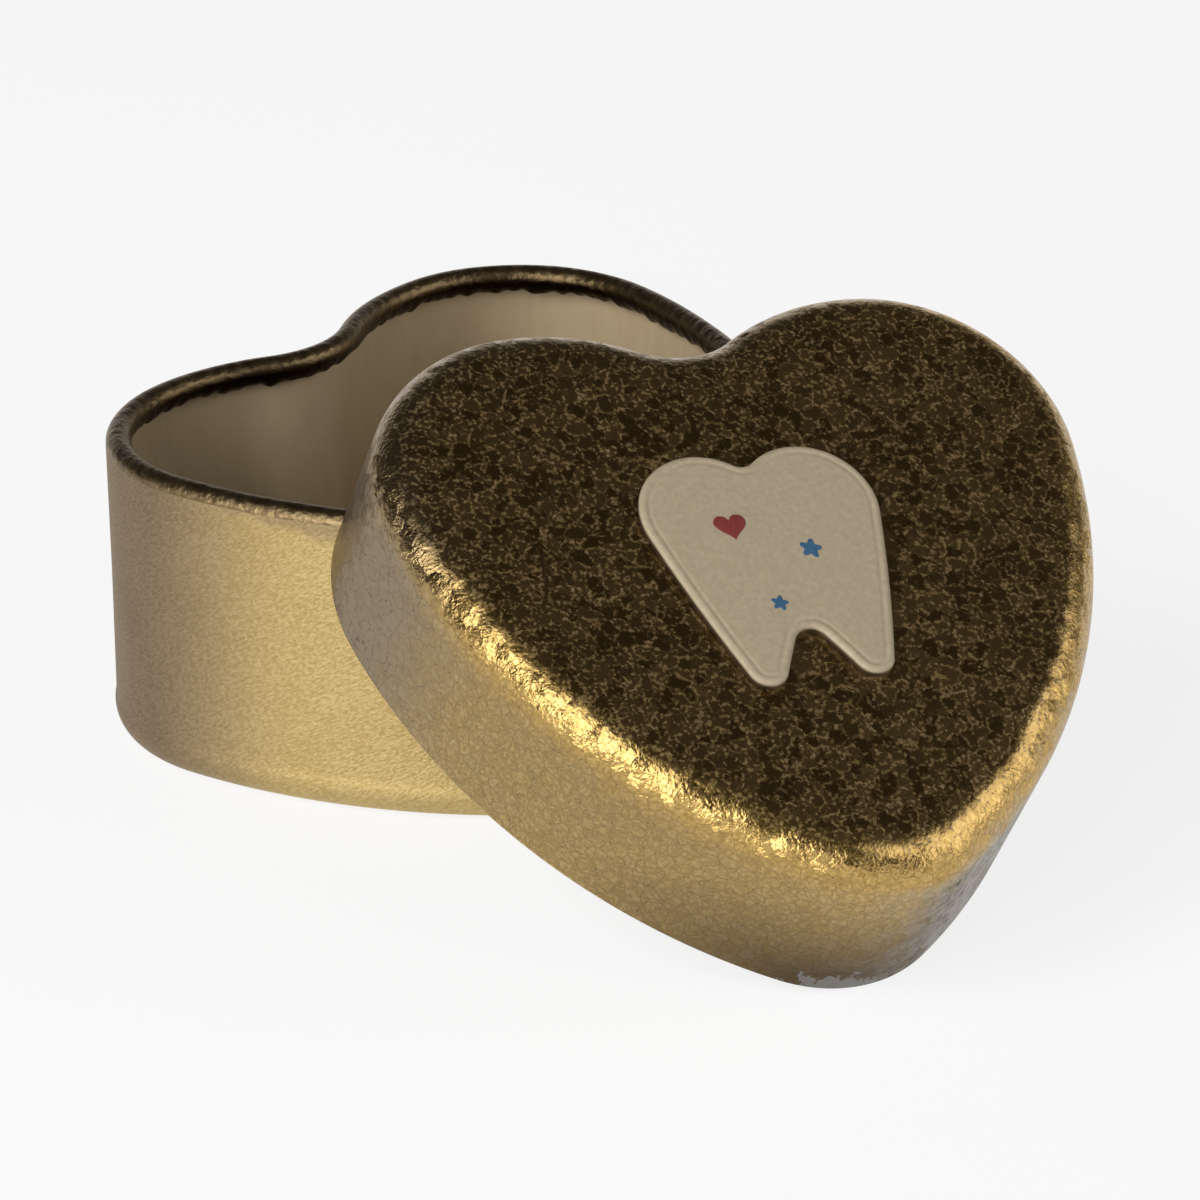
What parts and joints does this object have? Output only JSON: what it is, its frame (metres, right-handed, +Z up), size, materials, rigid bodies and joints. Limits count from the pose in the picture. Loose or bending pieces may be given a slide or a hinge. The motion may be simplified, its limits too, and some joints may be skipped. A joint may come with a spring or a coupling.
{
  "type": "baby tooth keepsake box",
  "caption": "Small heart-shaped drawn tin with a lift-off lid that carries a raised tooth, for keeping milk teeth; lid shown off, leaning on the base.",
  "frame": {"origin": "middle of the base's flat underside, under the centre of the box round its heart outline", "axes": "+Z up out of the base's mouth, -Y towards the tip of the base's heart, X across its two lobes"},
  "size_m": [0.0697, 0.0943, 0.0449],
  "materials": {
    "gold_lacquer": "satin gold lacquer on tinplate",
    "crackled_gold": "crackled metallic gold lacquer on tinplate",
    "cream_lacquer": "matt cream lacquer",
    "tooth_enamel": "satin cream enamel"
  },
  "bodies": {
    "base": {"base_shell": "gold_lacquer", "base_rim_bead": "gold_lacquer", "base_lining": "cream_lacquer"},
    "lid": {"lid_shell": "crackled_gold", "lid_rim_hem": "crackled_gold", "lid_lining": "cream_lacquer", "tooth_emblem": "tooth_enamel"}
  },
  "joints": [
    {"name": "lid_lift", "type": "slide", "parent": "base", "child": "lid", "axis": [-0.1678, -0.4905, 0.8551], "range_m": [0, 0.05]}
  ]
}
